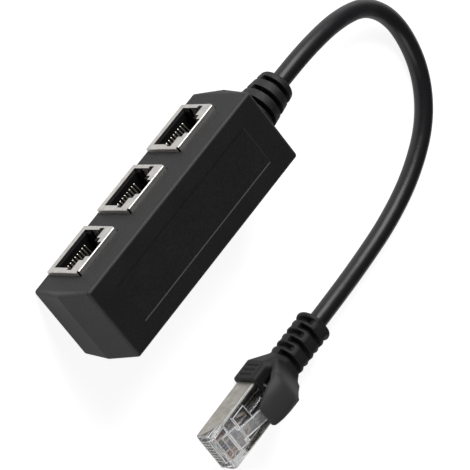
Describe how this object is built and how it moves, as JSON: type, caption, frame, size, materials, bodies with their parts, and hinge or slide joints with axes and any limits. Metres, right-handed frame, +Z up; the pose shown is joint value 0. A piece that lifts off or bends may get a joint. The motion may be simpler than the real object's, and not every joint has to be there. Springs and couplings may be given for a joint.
{
  "type": "rj45 splitter adapter",
  "caption": "Network splitter: an overmoulded body with a row of shielded RJ45 jacks, fed by a short cable with a booted RJ45 plug.",
  "frame": {"origin": "middle of the body's underside, on the surface that it lies on", "axes": "+X along the body towards the cable exit, +Y out of the face with the jacks, +Z up"},
  "size_m": [0.1344, 0.0764, 0.023],
  "materials": {
    "housing_pvc": "fine matt texture",
    "board_green": "green solder mask over glass epoxy",
    "nickel_sheet": "nickel plated sheet, satin",
    "jack_plastic": "moulded, satin",
    "contact_gold": "thin gold plate over phosphor bronze",
    "cable_pvc": "satin PVC jacket",
    "boot_pvc": "matt soft PVC",
    "clear_plug": "clear polycarbonate",
    "clear_guide": "clear polycarbonate",
    "wire_orange": "insulation",
    "wire_green": "insulation",
    "wire_blue": "insulation",
    "wire_brown": "insulation"
  },
  "bodies": {
    "root": {"housing": "housing_pvc", "circuit_board": "board_green", "jack_1_shield": "nickel_sheet", "jack_1_insert": "jack_plastic", "jack_1_contact_carrier": "jack_plastic", "jack_1_contact_1": "contact_gold", "jack_1_contact_2": "contact_gold", "jack_1_contact_3": "contact_gold", "jack_1_contact_4": "contact_gold", "jack_1_contact_5": "contact_gold", "jack_1_contact_6": "contact_gold", "jack_1_contact_7": "contact_gold", "jack_1_contact_8": "contact_gold", "jack_2_shield": "nickel_sheet", "jack_2_insert": "jack_plastic", "jack_2_contact_carrier": "jack_plastic", "jack_2_contact_1": "contact_gold", "jack_2_contact_2": "contact_gold", "jack_2_contact_3": "contact_gold", "jack_2_contact_4": "contact_gold", "jack_2_contact_5": "contact_gold", "jack_2_contact_6": "contact_gold", "jack_2_contact_7": "contact_gold", "jack_2_contact_8": "contact_gold", "jack_3_shield": "nickel_sheet", "jack_3_insert": "jack_plastic", "jack_3_contact_carrier": "jack_plastic", "jack_3_contact_1": "contact_gold", "jack_3_contact_2": "contact_gold", "jack_3_contact_3": "contact_gold", "jack_3_contact_4": "contact_gold", "jack_3_contact_5": "contact_gold", "jack_3_contact_6": "contact_gold", "jack_3_contact_7": "contact_gold", "jack_3_contact_8": "contact_gold", "board_wires_orange": "wire_orange", "board_wires_green": "wire_green", "board_wires_blue": "wire_blue", "board_wires_brown": "wire_brown", "cable": "cable_pvc", "plug_body": "clear_plug", "plug_shield": "nickel_sheet", "plug_wire_guide": "clear_guide", "plug_boot": "boot_pvc", "plug_contact_1": "contact_gold", "plug_wire_1": "wire_orange", "plug_contact_2": "contact_gold", "plug_wire_2": "wire_orange", "plug_contact_3": "contact_gold", "plug_wire_3": "wire_green", "plug_contact_4": "contact_gold", "plug_wire_4": "wire_blue", "plug_contact_5": "contact_gold", "plug_wire_5": "wire_blue", "plug_contact_6": "contact_gold", "plug_wire_6": "wire_green", "plug_contact_7": "contact_gold", "plug_wire_7": "wire_brown", "plug_contact_8": "contact_gold", "plug_wire_8": "wire_brown"}
  },
  "joints": []
}
